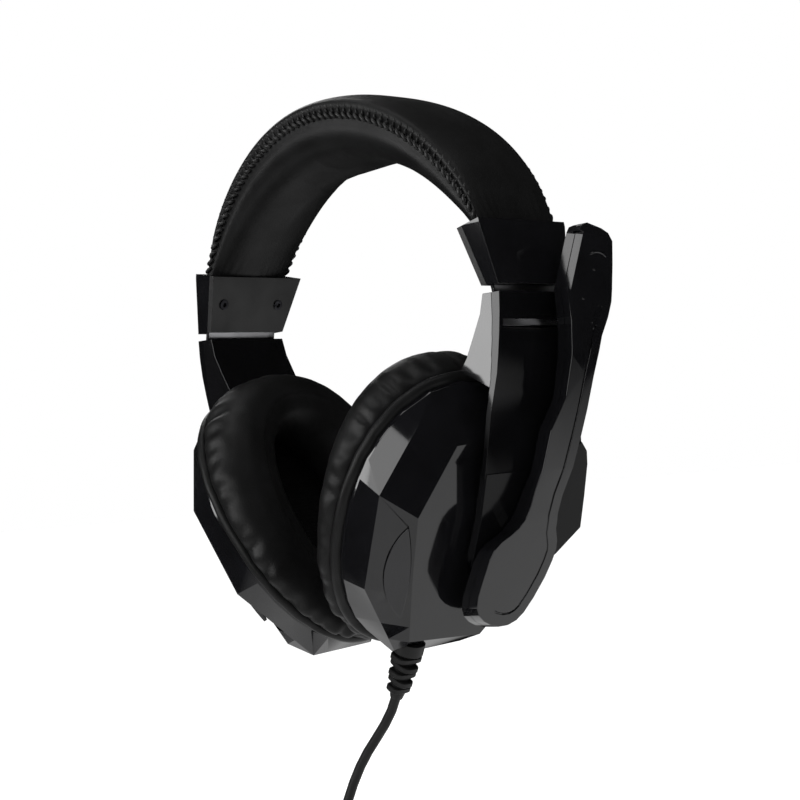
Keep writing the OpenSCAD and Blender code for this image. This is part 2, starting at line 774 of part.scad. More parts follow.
plug_pin();
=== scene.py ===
import math

import bmesh
import bpy
import numpy as np
from mathutils import Matrix, Vector, noise


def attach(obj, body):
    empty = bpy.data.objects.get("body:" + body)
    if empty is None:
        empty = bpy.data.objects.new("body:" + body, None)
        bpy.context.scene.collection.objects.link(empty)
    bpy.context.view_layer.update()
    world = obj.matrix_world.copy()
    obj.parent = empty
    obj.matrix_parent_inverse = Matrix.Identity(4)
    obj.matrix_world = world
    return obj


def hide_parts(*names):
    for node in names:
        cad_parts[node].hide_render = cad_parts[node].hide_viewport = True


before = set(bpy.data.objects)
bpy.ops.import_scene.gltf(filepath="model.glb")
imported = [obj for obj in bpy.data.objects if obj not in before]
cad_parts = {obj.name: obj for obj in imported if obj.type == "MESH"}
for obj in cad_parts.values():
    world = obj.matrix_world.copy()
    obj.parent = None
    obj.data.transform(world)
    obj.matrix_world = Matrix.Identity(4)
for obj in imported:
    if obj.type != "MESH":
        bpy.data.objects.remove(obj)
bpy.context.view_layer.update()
MM = 0.001

# ---------------------------------------------------------------- shared maths


def mix(a, b, k):
    return a + (b - a) * k


def smooth_step(x, lo, hi):
    k = np.clip((x - lo) / (hi - lo), 0, 1)
    return k * k * (3 - 2 * k)


def oval(a, b, angle, n=2.15):
    """Superellipse point or points at an angle in radians."""
    c, s = np.cos(angle), np.sin(angle)
    x = a * np.sign(c) * np.abs(c) ** (2 / n)
    y = b * np.sign(s) * np.abs(s) ** (2 / n)
    return np.stack([x, y], -1)


def spline(points, per):
    """Smooth line through points, with per steps between each pair."""
    p = np.array(points, float)
    p = np.vstack([2 * p[0] - p[1], p, 2 * p[-1] - p[-2]])
    out = []
    for i in range(1, len(p) - 2):
        for k in range(per):
            t = k / per
            out.append(0.5 * (2 * p[i] + (p[i + 1] - p[i - 1]) * t
                              + (2 * p[i - 1] - 5 * p[i] + 4 * p[i + 1] - p[i + 2]) * t * t
                              + (3 * p[i] - p[i - 1] - 3 * p[i + 1] + p[i + 2]) * t ** 3))
    out.append(p[-2])
    return np.array(out)


def rot_z(d):
    return np.array(Matrix.Rotation(math.radians(d), 3, "Z"))


def rot_y(d):
    return np.array(Matrix.Rotation(math.radians(d), 3, "Y"))


def turned(degrees, radius):
    """The two coordinates of a point on a circle."""
    a = math.radians(degrees)
    return radius * math.cos(a), radius * math.sin(a)


TOE = rot_z(-8)
EAR = TOE @ rot_y(28)
CUP = np.array([34.8, -14.3, -127.3])
TWIST = math.radians(5.5)


def ear(p):
    """Ear frame (depth outward, back, up) in mm to the shared frame in metres."""
    return (np.asarray(p, float) @ EAR.T + CUP) * MM


def toe(p):
    """Toe frame (the ear frame without its lean) in mm to the shared frame in metres."""
    return (np.asarray(p, float) @ TOE.T + CUP) * MM


def bumps(points, scale, seed=0.0):
    """Smooth noise from -1 to 1 at each point."""
    shift = Vector((seed, seed * 1.7, -seed))
    return np.array([noise.noise(Vector(p) * scale + shift) for p in points])


# ---------------------------------------------------------------- mesh helpers


def add_mesh(name, verts, faces, body, sharp=None):
    """Smooth-shaded object that rides on a body; edges sharper than sharp degrees stay hard."""
    me = bpy.data.meshes.new(name)
    me.from_pydata([tuple(v) for v in verts], [], faces)
    me.validate()
    me.polygons.foreach_set("use_smooth", [True] * len(me.polygons))
    if sharp is not None:
        me.set_sharp_from_angle(angle=math.radians(sharp))
    ob = bpy.data.objects.new(name, me)
    bpy.context.scene.collection.objects.link(ob)
    if body:
        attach(ob, body)
    return ob


def grid_faces(n, m, wrap_n, wrap_m, base=0):
    """Quads of an n by m grid of points, whose first point has the number base."""
    faces = []
    for i in range(n if wrap_n else n - 1):
        for j in range(m if wrap_m else m - 1):
            a, b = base + i * m + j, base + ((i + 1) % n) * m + j
            c, d = base + ((i + 1) % n) * m + (j + 1) % m, base + i * m + (j + 1) % m
            faces.append((a, b, c, d))
    return faces


def outward(ob):
    """Turns every face's normal to the outside."""
    bm = bmesh.new()
    bm.from_mesh(ob.data)
    bmesh.ops.recalc_face_normals(bm, faces=bm.faces)
    bm.to_mesh(ob.data)
    bm.free()
    return ob


def grid_object(name, grid, body, wrap_n=True, wrap_m=True, caps=False, sharp=None):
    """Object from an array of points, n rows of m; caps closes the first and last row."""
    n, m = grid.shape[:2]
    faces = grid_faces(n, m, wrap_n, wrap_m)
    if caps:
        faces += [tuple(range(m)), tuple(range((n - 1) * m, n * m))]
    return outward(add_mesh(name, grid.reshape(-1, 3), faces, body, sharp=sharp))


def mirrored(grid):
    return grid * np.array([-1, 1, 1])


def lathe(name, profile, origin, axis, body, steps=48, sharp=35):
    """Solid of revolution: profile is (distance along, radius) in mm from origin along axis."""
    z = Vector(axis).normalized()
    x = z.orthogonal().normalized()
    y = z.cross(x)
    rows = []
    for along, radius in profile:
        ring = []
        for k in range(steps):
            a = 2 * math.pi * k / steps
            p = Vector(origin) + (z * along + (x * math.cos(a) + y * math.sin(a)) * max(radius, 0.001)) * MM
            ring.append(tuple(p))
        rows.append(ring)
    return grid_object(name, np.array(rows), body, False, True, True, sharp)


def tube_rings(path, radius, sides=10, up=(0, 1, 0)):
    """Rings of a tube swept along a path in metres; radius is one number or one for each point."""
    path = np.array(path, float)
    r = np.broadcast_to(radius, len(path))
    d = np.gradient(path, axis=0)
    d /= np.linalg.norm(d, axis=1)[:, None]
    s = np.cross(d, np.array(up, float))
    s /= np.linalg.norm(s, axis=1)[:, None]
    t = np.cross(d, s)
    a = np.arange(sides) * 2 * math.pi / sides
    around = np.cos(a)[None, :, None] * s[:, None] + np.sin(a)[None, :, None] * t[:, None]
    return path[:, None] + r[:, None, None] * around


# ---------------------------------------------------------------- camera


CAMERA_AIM = Vector((0.00926, 0, -0.08699))
CAMERA_AWAY = 0.71979
CAMERA_AZ, CAMERA_EL, CAMERA_ROLL = 42.79, -2.38, 4.94


def make_camera():
    az, el, roll = (math.radians(d) for d in (CAMERA_AZ, CAMERA_EL, CAMERA_ROLL))
    back = Vector((math.sin(az) * math.cos(el), -math.cos(az) * math.cos(el), math.sin(el)))
    right = Vector((math.cos(az), math.sin(az), 0))
    up = right.cross(-back)
    cam_right = right * math.cos(roll) - up * math.sin(roll)
    cam_up = right * math.sin(roll) + up * math.cos(roll)
    data = bpy.data.cameras.new("camera")
    data.lens = 90.69
    data.sensor_width = 36
    data.clip_start, data.clip_end = 0.02, 30
    cam = bpy.data.objects.new("camera", data)
    turn = Matrix((cam_right, cam_up, back)).transposed().to_4x4()
    cam.matrix_world = Matrix.Translation(CAMERA_AIM + back * CAMERA_AWAY) @ turn
    bpy.context.scene.collection.objects.link(cam)
    bpy.context.scene.camera = cam


make_camera()

# ---------------------------------------------------------------- materials


class Nodes:
    """Small helper that builds a Principled material node by node."""

    def __init__(self, name, color, rough, **sockets):
        self.mat = bpy.data.materials.new(name)
        self.mat.use_nodes = True
        self.tree = self.mat.node_tree
        self.bsdf = self.tree.nodes["Principled BSDF"]
        self.bsdf.inputs["Base Color"].default_value = (*color, 1)
        self.bsdf.inputs["Roughness"].default_value = rough
        for key, value in sockets.items():
            self.bsdf.inputs[key.replace("_", " ")].default_value = value
        self.coords = self.tree.nodes.new("ShaderNodeTexCoord").outputs["Object"]

    def node(self, kind, links=(), **values):
        n = self.tree.nodes.new(kind)
        for key, value in values.items():
            key = key.replace("_", " ")
            if key in n.inputs:
                n.inputs[key].default_value = value
            else:
                setattr(n, key.replace(" ", "_"), value)
        for socket, source in links:
            self.tree.links.new(source, n.inputs[socket])
        return n

    def noise(self, scale, detail=3.0, rough=0.5, stretch=None):
        at = self.coords
        if stretch:
            at = self.node("ShaderNodeMapping", [("Vector", at)], Scale=stretch).outputs[0]
        n = self.node("ShaderNodeTexNoise", [("Vector", at)], Scale=scale, Detail=detail, Roughness=rough)
        return n.outputs["Fac"]

    def cells(self, scale, feature="DISTANCE_TO_EDGE"):
        n = self.node("ShaderNodeTexVoronoi", [("Vector", self.coords)], Scale=scale)
        n.feature = feature
        return n.outputs["Distance"]

    def ramp(self, value, lo, hi, to_lo, to_hi):
        n = self.node("ShaderNodeMapRange", [("Value", value)])
        for key, v in (("From Min", lo), ("From Max", hi), ("To Min", to_lo), ("To Max", to_hi)):
            n.inputs[key].default_value = v
        return n.outputs["Result"]

    def calc(self, operation, *values):
        n = self.node("ShaderNodeMath", list(enumerate(values)))
        n.operation = operation
        return n.outputs[0]

    def roughness(self, value):
        self.tree.links.new(value, self.bsdf.inputs["Roughness"])

    def colors(self, value, a, b):
        n = self.node("ShaderNodeValToRGB", [("Fac", value)])
        n.color_ramp.elements[0].color = (*a, 1)
        n.color_ramp.elements[1].color = (*b, 1)
        n.color_ramp.elements[0].position = 0.3
        n.color_ramp.elements[1].position = 0.7
        self.tree.links.new(n.outputs["Color"], self.bsdf.inputs["Base Color"])

    def bump(self, heights):
        """heights: (value, strength, distance in mm) one after another."""
        normal = None
        for value, strength, distance in heights:
            n = self.node("ShaderNodeBump", [("Height", value)])
            n.inputs["Strength"].default_value = strength
            n.inputs["Distance"].default_value = distance * MM
            if normal:
                self.tree.links.new(normal, n.inputs["Normal"])
            normal = n.outputs["Normal"]
        self.tree.links.new(normal, self.bsdf.inputs["Normal"])


# Each function below makes one kind of material; shade is its grey, rough its roughness, level its reflectance.


def gloss(name, shade=0.003, rough=0.045, level=0.5):
    m = Nodes(name, (shade, shade, shade * 1.15), rough, Specular_IOR_Level=level)
    haze = m.noise(38, 4)
    m.roughness(m.ramp(haze, 0.3, 0.8, rough, rough + 0.07))
    m.colors(m.noise(60, 2), (shade * 0.8, shade * 0.8, shade * 0.9), (shade * 1.2, shade * 1.2, shade * 1.4))
    m.bump([(m.noise(45, 2), 0.06, 0.25)])
    return m.mat


def satin(name, shade=0.009, rough=0.36):
    m = Nodes(name, (shade, shade, shade), rough, Specular_IOR_Level=0.45)
    m.roughness(m.ramp(m.noise(70, 4), 0.3, 0.8, rough - 0.06, rough + 0.12))
    m.colors(m.noise(110, 3), (shade * 0.8,) * 3, (shade * 1.35,) * 3)
    m.bump([(m.noise(2600, 3, 0.6), 0.25, 0.05), (m.noise(900, 2), 0.12, 0.06)])
    return m.mat


def leather(name, shade=0.014, rough=0.42, grain=1100):
    m = Nodes(name, (shade, shade, shade * 1.04), rough, Specular_IOR_Level=0.19,
              Sheen_Weight=0.008, Sheen_Roughness=0.5)
    cells = m.cells(grain)
    m.roughness(m.ramp(m.noise(55, 5), 0.25, 0.8, rough - 0.07, rough + 0.13))
    m.colors(m.noise(80, 4), (shade * 0.75,) * 3, (shade * 1.35, shade * 1.35, shade * 1.4))
    m.bump([(m.ramp(cells, 0.0, 0.25, 0.0, 1.0), 0.3, 0.08), (m.noise(220, 4), 0.18, 0.2),
            (m.noise(70, 3, 0.5), 0.22, 0.6)])
    return m.mat


def cloth(name, shade=0.008):
    m = Nodes(name, (shade,) * 3, 0.95, Specular_IOR_Level=0.2, Sheen_Weight=0.02, Sheen_Roughness=0.4)
    a = m.node("ShaderNodeTexWave", [("Vector", m.coords)], Scale=260.0, Distortion=0.6)
    b = m.node("ShaderNodeTexWave", [("Vector", m.coords)], Scale=260.0, Distortion=0.6)
    a.bands_direction, b.bands_direction = "Y", "Z"
    weave = m.calc("MULTIPLY", a.outputs["Fac"], b.outputs["Fac"])
    m.colors(weave, (shade * 0.4,) * 3, (shade * 1.9,) * 3)
    m.roughness(m.ramp(m.noise(300, 3), 0.2, 0.8, 0.85, 1.0))
    m.bump([(weave, 0.7, 0.25)])
    return m.mat


def rubber(name, shade=0.009, rough=0.55):
    m = Nodes(name, (shade,) * 3, rough, Specular_IOR_Level=0.25)
    m.roughness(m.ramp(m.noise(120, 4), 0.3, 0.8, rough - 0.08, rough + 0.14))
    m.colors(m.noise(200, 3), (shade * 0.8,) * 3, (shade * 1.4,) * 3)
    m.bump([(m.noise(1800, 3), 0.2, 0.06)])
    return m.mat


def metal(name, color, rough, stretch=(1, 1, 1), brushed=0.15):
    m = Nodes(name, color, rough, Metallic=1.0)
    streaks = m.noise(900, 3, 0.6, stretch)
    m.roughness(m.ramp(streaks, 0.2, 0.8, rough - 0.05, rough + 0.12))
    m.colors(m.noise(50, 3), tuple(c * 0.85 for c in color), tuple(min(1, c * 1.08) for c in color))
    m.bump([(streaks, brushed, 0.05)])
    return m.mat


def porous(name, shade):
    m = Nodes(name, (shade,) * 3, 0.9, Specular_IOR_Level=0.2)
    m.roughness(m.ramp(m.noise(300, 3), 0.2, 0.8, 0.8, 1.0))
    m.colors(m.cells(700, "F1"), (shade * 1.2,) * 3, (shade * 0.5,) * 3)
    m.bump([(m.cells(700, "F1"), 0.8, 0.4)])
    return m.mat


MATS = {
    "gloss": gloss("gloss_black"),
    "arm_gloss": gloss("arm_gloss", 0.0018, 0.05, 0.30),
    "arm_front": gloss("arm_front", 0.002, 0.06, 0.6),
    # darker, less reflective copy of the arm's gloss for the arm's lower plate: painted shade
    "arm_plate_painted_shade": gloss("arm_plate_painted_shade", 0.0015, 0.12, 0.12),
    "insert": gloss("gloss_insert", 0.005, 0.08),
    "satin": satin("satin_black", 0.004),
    "band": leather("band_leather", 0.0034, 0.44, 950),
    "ear": leather("ear_leather", 0.0034, 0.42, 1200),
    "thread": rubber("thread", 0.011, 0.34),
    "cloth": cloth("ear_cloth", 0.0013),
    "rubber": rubber("cord_rubber", 0.0035, 0.5),
    "strap": cloth("strap_weave", 0.014),
    "dark_line": rubber("dark_groove", 0.0015, 0.8),
    "steel": metal("steel", (0.56, 0.56, 0.58), 0.28, (0.05, 0.05, 1)),
    "dark_metal": metal("dark_metal", (0.12, 0.12, 0.13), 0.4),
    "screws": metal("dark_screws", (0.04, 0.04, 0.045), 0.38),
    "capsule": metal("capsule_metal", (0.6, 0.6, 0.62), 0.3),
    "gold": metal("plug_gold", (0.83, 0.6, 0.27), 0.2, (1, 1, 0.1), 0.08),
    "foam": porous("foam", 0.02),
    "nylon": satin("nylon", 0.12, 0.5),
}


def dress(ob, key):
    """One material all over."""
    ob.data.materials.clear()
    ob.data.materials.append(MATS[key])
    return ob


CAD_LOOKS = {
    "headband_foam": "foam", "headband_cover": "band", "spring_band": "steel", "end_cap_outer": "gloss",
    "end_cap_inner": "satin", "slider_guide": "nylon", "cap_screws": "screws", "slider_strip": "steel",
    "arm_outer": "arm_gloss", "arm_inner": "arm_front", "tilt_lugs": "dark_metal", "cup_shell": "gloss",
    "cup_insert": "insert", "pivot_block": "dark_metal", "tilt_pin": "steel", "baffle": "satin",
    "driver": "dark_metal", "ear_cloth": "cloth", "cushion_lip": "ear", "cushion": "ear", "boom_outer": "gloss",
    "boom_inner": "gloss", "boom_shaft": "dark_metal", "boom_nut": "steel", "mic_capsule": "capsule",
    "mic_foam": "foam", "strain_relief": "rubber", "cord_tube": "rubber", "cord_coil": "rubber",
    "cord_tie": "strap", "plug_body": "rubber", "plug_pin": "gold",
}


BEVEL_MM = {
    "end_cap_outer": 0.7, "end_cap_inner": 0.35, "arm_outer": 0.75, "arm_inner": 0.35, "cup_shell": 0.45,
    "cup_insert": 0.2, "boom_outer": 1.3, "boom_inner": 0.6,
}
WELD_MM = 0.02
FLAT_WITHIN = math.radians(0.6)
BEVEL_OVER = math.radians(17)


def finish_cad(name, ob):
    """Material, and softened edges for the moulded parts."""
    base = name[:-2] if name[-2:] in ("_l", "_r") else name
    look = CAD_LOOKS[base]
    ob.data.materials.clear()
    ob.data.materials.append(MATS[look])
    ob.data.polygons.foreach_set("material_index", [0] * len(ob.data.polygons))
    ob.data.polygons.foreach_set("use_smooth", [True] * len(ob.data.polygons))
    weld = ob.modifiers.new("weld", "WELD")
    weld.merge_threshold = WELD_MM * MM
    flat = ob.modifiers.new("flat", "DECIMATE")
    flat.decimate_type = "DISSOLVE"
    flat.angle_limit = FLAT_WITHIN
    if base in BEVEL_MM:
        bevel = ob.modifiers.new("bevel", "BEVEL")
        bevel.width = BEVEL_MM[base] * MM
        bevel.segments = 3
        bevel.limit_method = "ANGLE"
        bevel.angle_limit = BEVEL_OVER
        bevel.harden_normals = True
        bevel.use_clamp_overlap = True
    normals = ob.modifiers.new("normals", "WEIGHTED_NORMAL")
    normals.keep_sharp = True


for node_name, node_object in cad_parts.items():
    finish_cad(node_name, node_object)


PLATE_FROM = 20         # mm outside the cup's centre
PLATE_FACING = 0.97


def paint_plate_shade(ob, side):
    """The arm's lower plate, parallel to the cup's face, gets a rougher, darker and less reflective copy of the arm's
    gloss: painted shade that keeps the plate black.
    """
    ob.data.materials.append(MATS["arm_plate_painted_shade"])
    mirror = np.array([side, 1, 1])
    axis = EAR[:, 0] * mirror
    for p in ob.data.polygons:
        depth = float(np.dot(np.array(p.center) / MM - CUP * mirror, axis))
        if abs(np.dot(np.array(p.normal), axis)) > PLATE_FACING and depth > PLATE_FROM:
            p.material_index = 1


paint_plate_shade(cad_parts["arm_outer_l"], 1)
paint_plate_shade(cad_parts["arm_outer_r"], -1)

# ---------------------------------------------------------------- cord, coil, tie and plug

CORD_D = 3.5
COIL = np.array([-14.0, -20.5, -279.0])     # middle of the coil
PLUG = np.array([-1.0, -32.3, -283.0])      # where the grip meets the contacts
COIL_R = 26.3           # outermost turns
COIL_PITCH = 3.6
COIL_STEPS, COIL_TURNS = 24, 13
COIL_ENTRY = 108.3      # degrees round the coil
CROSSING = 0.35         # of a turn
CROSSING_EARLIER = 0.27


def coil_points():
    """Turns of the coil in the XZ plane, from the outside layer in, each layer back the way the last one came.
    Each turn ends with a crossing to its next place in the bundle; crossings start earlier round a layer change."""
    radii = [COIL_R - COIL_PITCH * i for i in range(4)]
    columns = [-1.5 * COIL_PITCH + COIL_PITCH * i for i in range(4)]
    order = []
    for layer in range(4):
        across = range(4) if layer % 2 == 0 else range(3, -1, -1)
        order += [(layer, column) for column in across]
    starts, at = [], 1 - CROSSING
    for turn in range(COIL_TURNS):
        inward = order[turn][0] != order[turn + 1][0]
        was_inward = turn > 0 and order[turn - 1][0] != order[turn][0]
        if turn and (inward or was_inward):
            at -= CROSSING_EARLIER * CROSSING
        starts.append(at)
    pts = []
    for turn in range(COIL_TURNS):
        here, there = order[turn], order[turn + 1]
        for k in range(COIL_STEPS):
            frac = k / COIL_STEPS
            slide = float(smooth_step(frac, starts[turn], starts[turn] + CROSSING))
            r = mix(radii[here[0]], radii[there[0]], slide)
            y = mix(columns[here[1]], columns[there[1]], slide)
            a = math.radians(COIL_ENTRY + 360 * (turn + frac))
            pts.append([r * math.cos(a), y, r * math.sin(a)])
    return np.array(pts)


DROP = [
    [14.7, -20.1, -188.7], [11.4, -20.3, -194.9], [7.8, -20.5, -199.7], [3.5, -20.8, -204.5], [-0.6, -21.4, -209.2],
    [-4.3, -22.1, -214.4], [-7.4, -23.0, -220.2], [-10, -24.0, -226.4], [-12.1, -25.0, -233.2], [-13.6, -25.7, -239.6],
]
# degrees round the coil, radius and Y from its middle: out of the innermost turn and over the bundle's front
TAIL = [
    (112, 15.4, 1.8), (128, 14.6, 1.6), (148, 12.9, 0.7), (172, 11.0, -1.8), (200, 10.0, -5.4), (228, 11.3, -8.4),
    (252, 14.6, -9.5), (274, 18.2, -9.6), (296, 21.4, -9.6), (316, 24.0, -9.6), (334, 26.0, -9.8), (350, 27.2, -10.1),
    (6, 27.9, -10.5), (21, 29.4, -11.0),
]
BEND_R = 12.0
LOOP_R, LOOP_X, LOOP_Y, LOOP_Z = 7.9, 20.9, -11.8, 28.6


def cord_points():
    """The cord's centre line in mm: down from the relief, into the coil, through it, and over a loop to the plug."""
    bend = []
    for degrees in (2, 20, 38, 56):
        x, z = turned(degrees, BEND_R)
        bend.append([-26 + x, -25.9, -242.7 - z])
    tail = []
    for degrees, radius, y in TAIL:
        x, z = turned(degrees, radius)
        tail.append([x, y, z])
    tail = [list(p) for p in spline(tail, 2)]
    tail += [[28.4, -11.4, 16.5], [28.9, -11.7, 22.0]]
    for degrees in range(0, 181, 15):
        x, z = turned(degrees, LOOP_R)
        tail.append([LOOP_X + x, LOOP_Y, LOOP_Z + z])
    tail.append([13, LOOP_Y, 25.5])
    return np.vstack([np.array(DROP), np.array(bend), COIL + coil_points(), COIL + np.array(tail)])


def make_cord():
    pts = cord_points() * MM
    curve = bpy.data.curves.new("cord", "CURVE")
    curve.dimensions = "3D"
    s = curve.splines.new("POLY")
    s.points.add(len(pts) - 1)
    s.points.foreach_set("co", np.hstack([pts, np.ones((len(pts), 1))]).ravel())
    s.use_smooth = True
    curve.bevel_depth = CORD_D / 2 * MM
    curve.bevel_resolution = 4
    curve.use_fill_caps = True
    ob = bpy.data.objects.new("cord", curve)
    bpy.context.scene.collection.objects.link(ob)
    curve.materials.append(MATS["rubber"])
    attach(ob, "cup_l")
    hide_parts("cord_tube", "cord_coil")
    length = float(np.linalg.norm(np.diff(pts, axis=0), axis=1).sum())
    return ob, pts, length


RELIEF_AT = np.array([12, -8.6])            # depth and back in the ear frame
RELIEF_BLOCKS = 5


def make_relief():
    """Moulded strain relief: a tapered sleeve with blocks that stand out along one axis and the other in turn."""
    sides = 40
    a = np.arange(sides) * 2 * math.pi / sides

    def block(z, rx, ry):
        flat = oval(rx, ry, a, 3.0) + RELIEF_AT
        return ear(np.column_stack([flat, np.full(sides, z)]))

    def ring(z, radius):
        flat = oval(radius, radius, a, 2) + RELIEF_AT
        return ear(np.column_stack([flat, np.full(sides, z)]))

    rows = [ring(z, radius) for z, radius in ((-42.5, 5.4), (-46.6, 5.4), (-47.0, 5.0), (-47.0, 3.6))]
    for i in range(RELIEF_BLOCKS):
        z = -47.9 - 3.0 * i
        wide, thin, core = 5.5 - 0.33 * i, 3.9 - 0.2 * i, 3.3 - 0.12 * i
        rx, ry = (wide, thin) if i % 2 else (thin, wide)
        rows += [ring(z, core), block(z - 0.05, rx - 0.3, ry - 0.3), block(z - 0.35, rx, ry),
                 block(z - 1.75, rx, ry), block(z - 2.05, rx - 0.3, ry - 0.3), ring(z - 2.1, core)]
    rows += [ring(z, radius) for z, radius in ((-63.4, 2.5), (-64.2, 2.35), (-64.9, 2.1), (-65.0, 1.5))]
    ob = grid_object("strain_relief_boot", np.array(rows), "cup_l", False, True, True, 40)
    dress(ob, "rubber")
    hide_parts("strain_relief")


GRIP_R, GROOVE_R, PIN_R, PIN_RING_R = 4.9, 4.45, 1.75, 1.68


def make_plug():
    """Generic plug: a ribbed grip that ends in a short relief, and a pin with four contacts."""
    at = PLUG * MM
    ribs = []
    for i in range(6):
        z = 3.0 + i * 2.2
        ribs += [(z, GRIP_R), (z + 0.5, GRIP_R), (z + 0.7, GROOVE_R), (z + 1.3, GROOVE_R), (z + 1.5, GRIP_R)]
    neck = [(17, GRIP_R), (19.5, 4.5), (21.5, 3.6), (22, 3.1), (24, 2.9), (24.2, 2.4), (25, 2.4), (25.2, 2.75),
            (26.4, 2.65), (26.6, 2.3), (27.4, 2.3), (27.6, 2.5), (29, 2.3), (30, 1.8), (30, 0)]
    grip = [(0, 0), (0, 4.4), (0.4, GRIP_R)] + ribs + neck
    body = lathe("plug_grip", grip, at, (0, 0, 1), "cup_l")
    dress(body, "rubber")
    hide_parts("plug_body")
    rings = [(3.0, 3.7), (6.6, 7.3), (10.2, 10.8)]
    profile = [(0, 0), (0, PIN_R)]
    for lo, hi in rings[:2]:
        profile += [(lo, PIN_R), (lo, PIN_RING_R), (hi, PIN_RING_R), (hi, PIN_R)]
    lo, hi = rings[2]
    profile += [(lo, PIN_R), (lo, 1.6), (hi, 1.6), (hi + 0.1, 1.35), (12.2, 1.72), (13.4, 1.0), (14, 0.25), (14, 0)]
    pin = lathe("plug_contacts", profile, at, (0, 0, -1), "cup_l", 40)
    dress(pin, "gold")
    pin.data.materials.append(MATS["dark_line"])
    for p in pin.data.polygons:
        depth = (at[2] - p.center.z) / MM
        if any(lo < depth < hi for lo, hi in rings):
            p.material_index = 1
    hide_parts("plug_pin")
    return body, pin


def make_tie():
    """Woven strap round the bundle, with a lapped end."""
    steps, rows = 64, []
    a = np.arange(steps) * 2 * math.pi / steps
    for z, grow in ((-4, 0.0), (-3.8, 0.55), (3.8, 0.55), (4, 0.0), (4, -0.55), (-4, -0.55)):
        bulge = 0.5 * np.exp(-((a - 1.57) / 0.5) ** 2) * (grow > 0)
        o = oval(8.15 + grow, 8.15 + grow, a, 4.5) * (1 + bulge / 9)[:, None]
        rows.append((COIL + np.column_stack([-21 + o[:, 0], o[:, 1], np.full(steps, z)])) * MM)
    ob = grid_object("coil_strap", np.array(rows), "cup_l", True, True, False, 40)
    dress(ob, "strap")
    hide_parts("cord_tie")
    return ob


cord_ob, cord_path, cord_length = make_cord()
make_relief()
plug_grip, plug_contacts = make_plug()
strap = make_tie()
print("CORD", round(cord_length, 4))

# ---------------------------------------------------------------- small raised marks

# height and depth in the toe frame along the middle of the boom's outer face
BOOM_FACE = [(-44, 12.1), (-25.6, 21.9), (-5.9, 32.4), (11, 39.6), (30, 43.4), (50, 46.2), (70, 47.2), (97, 47.2)]


def boom_face(y, z):
    """Point on the boom's outer face from its place in the toe frame, in metres."""
    levels, depths = zip(*BOOM_FACE)
    return toe([float(np.interp(z, levels, depths)), y, z])


def bead(name, paths, radius, body):
    """Thin raised lines with rounded ends."""
    verts, faces, sides = [], [], 8
    for path in paths:
        base = len(verts)
        line = spline(path, 6)
        shrink = np.sqrt(np.clip(1 - (np.linspace(-1, 1, len(line)) * 0.99) ** 8, 0.03, 1))
        for ring in tube_rings(line, shrink * radius * MM, sides, (1, 0.1, 0.1)):
            verts.extend(map(tuple, ring))
        faces.extend(grid_faces(len(line), sides, False, True, base))
        end = base + (len(line) - 1) * sides
        faces += [tuple(range(base, base + sides)), tuple(range(end, end + sides))]
    ob = outward(add_mesh(name, verts, faces, body))
    return dress(ob, "gloss")


ARC = ((37.9, 82.1), (39.7, 82.9), (41.8, 83.0), (43.8, 82.4), (45.4, 81.2))
SLITS = (((42, 65), (39.4, 60.8), (36.7, 56.6)), ((40.4, 65.2), (38.4, 62), (36.3, 58.7)))
DOTS = [((y - 0.5, z), (y, z + 0.3), (y + 0.5, z)) for y, z in ((39, 76.8), (32.8, 67))]
MARKS = (("boom_raised_arc", [ARC], 0.42), ("boom_rear_slits", SLITS, 0.28), ("boom_dots", DOTS, 0.4))
for mark, lines, radius in MARKS:
    bead(mark, [[boom_face(y, z) for y, z in line] for line in lines], radius, "mic_boom")

# ---------------------------------------------------------------- headband cover

ARCH_W, ARCH_H = 80.6, 103.5                # half axes of the seam's ellipse
ARCH_Z = 14.9 - ARCH_H                      # its centre
BAND_END = 58                               # degrees from the crown
SECTION_POWER = 3.2


def band_k(t, e):
    """0 at the crown to 1 at the band's ends."""
    return np.minimum(np.abs(t) / BAND_END, 1) ** e


# the section's reach from the seam in mm: above, below, to the front and to the back


def band_above(t):
    return mix(8.3, 1.2, band_k(t, 3.5))


def band_below(t):
    return mix(14.9, 5.2, band_k(t, 2.2))


def band_front(t):
    return mix(22.4, 17.4, band_k(t, 1.2))


def band_back(t):
    return mix(27.6, 22.4, band_k(t, 3))


def under_back_power(t):
    """The padding's rear lower edge is square at the crown and rounds off towards the ears."""
    return mix(3.6, 1.65, smooth_step(np.abs(t), 2, 22))


def arch(t, n):
    """Point of the arch at angle t in degrees, n mm outside the seam: X and Z."""
    a = np.radians(t)
    ln = np.hypot(ARCH_H * np.sin(a), ARCH_W * np.cos(a))
    return ARCH_W * np.sin(a) + n * ARCH_H * np.sin(a) / ln, ARCH_Z + ARCH_H * np.cos(a) + n * ARCH_W * np.cos(a) / ln


def band_point(t, angle, out=0.0):
    """Points on the cover: angle goes from the back edge over the top to the front edge and underneath."""
    half = (band_front(t) + band_back(t)) / 2
    middle = (band_back(t) - band_front(t)) / 2
    c, s = np.cos(angle), np.sin(angle)
    under_back = angle > 1.5 * math.pi
    n = np.where(under_back, under_back_power(t), SECTION_POWER)
    y = (half + out) * np.sign(c) * np.abs(c) ** (2 / n)
    h = np.sign(s) * np.abs(s) ** (2 / n)
    h = h * (np.where(s > 0, band_above(t), band_below(t)) + out)
    x, z = arch(t, h)
    return np.stack([x, middle + y, z], -1)


